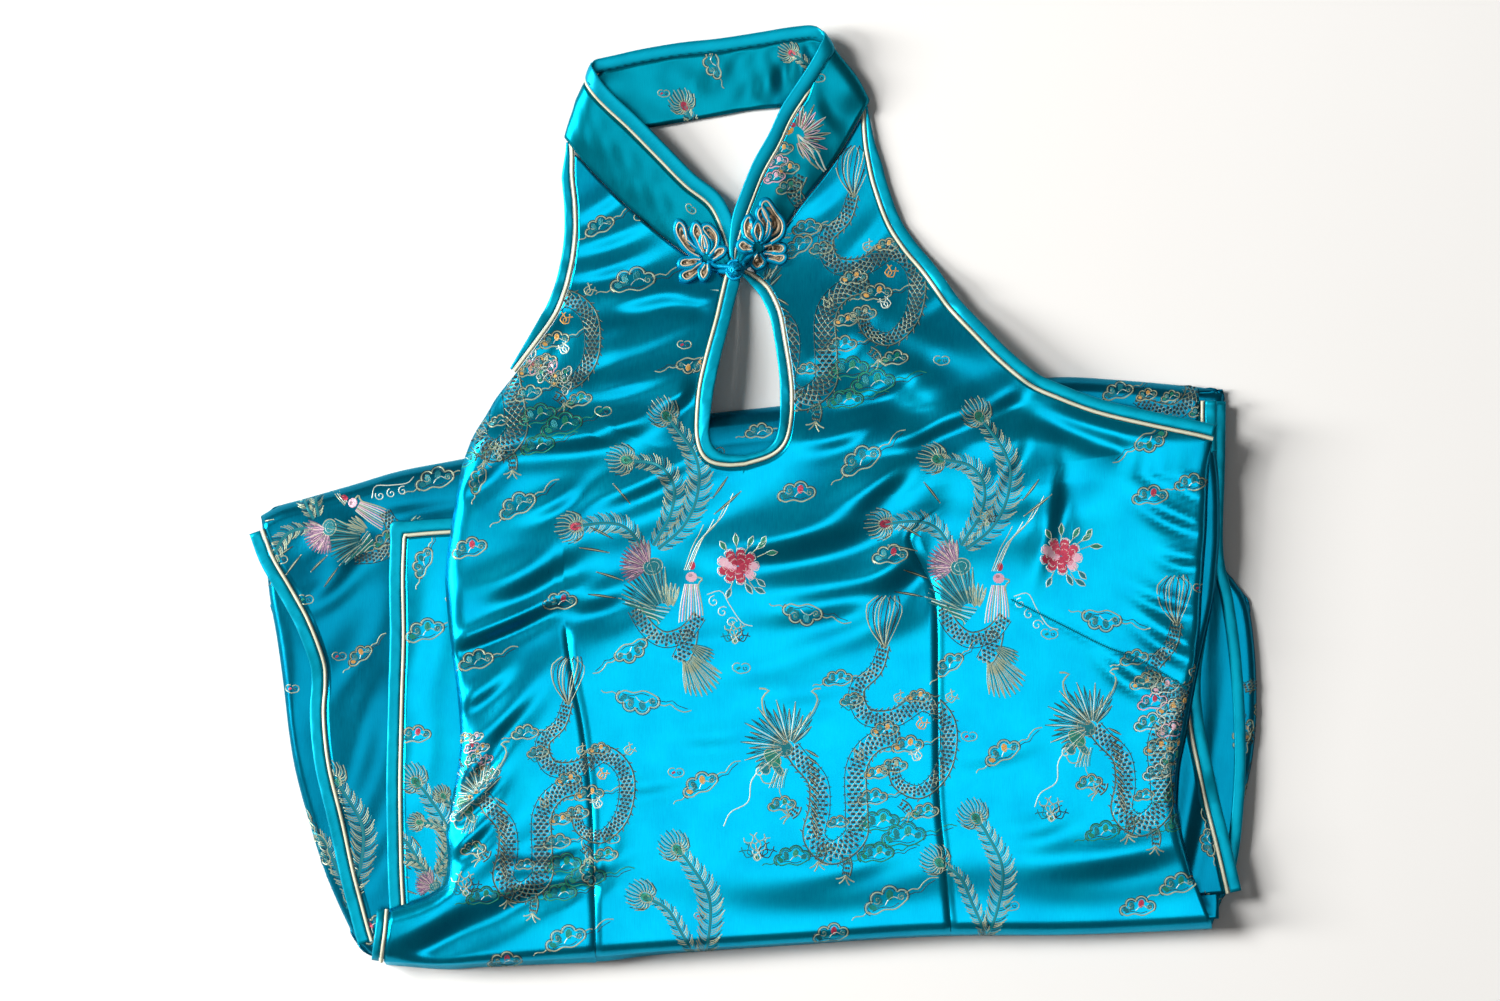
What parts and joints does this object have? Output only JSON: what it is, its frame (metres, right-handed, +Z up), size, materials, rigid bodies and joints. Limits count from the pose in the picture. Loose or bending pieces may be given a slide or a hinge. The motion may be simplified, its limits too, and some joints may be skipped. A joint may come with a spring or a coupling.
{
  "type": "folded halter cheongsam dress",
  "caption": "Sleeveless halter cheongsam in turquoise satin brocade, folded flat face up, with stand collar, keyhole, piped edges and a frog fastening.",
  "frame": {"origin": "on the surface that the dress lies on, under the middle of its outline", "axes": "+X to the right as the folded dress is seen from above, +Y towards the collar, +Z up from the surface"},
  "size_m": [0.5811, 0.5449, 0.0232],
  "materials": {
    "satin_brocade": "glossy turquoise satin with woven dragons, phoenixes, peonies and clouds",
    "satin_binding": "plain turquoise satin",
    "cream_piping": "cream yellow satin cord",
    "satin_cord": "plain turquoise satin cord"
  },
  "bodies": {
    "root": {"folded_skirt": "satin_brocade", "skirt_front": "satin_brocade", "skirt_back_hem": "satin_brocade", "bodice_front": "satin_brocade", "bodice_back": "satin_brocade", "collar": "satin_brocade", "collar_binding": "satin_binding", "collar_piping": "cream_piping", "keyhole_binding": "satin_binding", "keyhole_piping": "cream_piping", "armhole_left_binding": "satin_binding", "armhole_left_piping": "cream_piping", "armhole_right_binding": "satin_binding", "armhole_right_piping": "cream_piping", "slit_left_binding": "satin_binding", "slit_left_piping": "cream_piping", "slit_right_binding": "satin_binding", "slit_right_piping": "cream_piping", "under_slit_right_binding": "satin_binding", "hem_binding": "satin_binding", "hem_piping": "cream_piping", "waist_slit_left_binding": "satin_binding", "waist_slit_left_piping": "cream_piping", "frog_left": "satin_cord", "frog_right": "satin_cord", "knot_button": "satin_cord"}
  },
  "joints": []
}
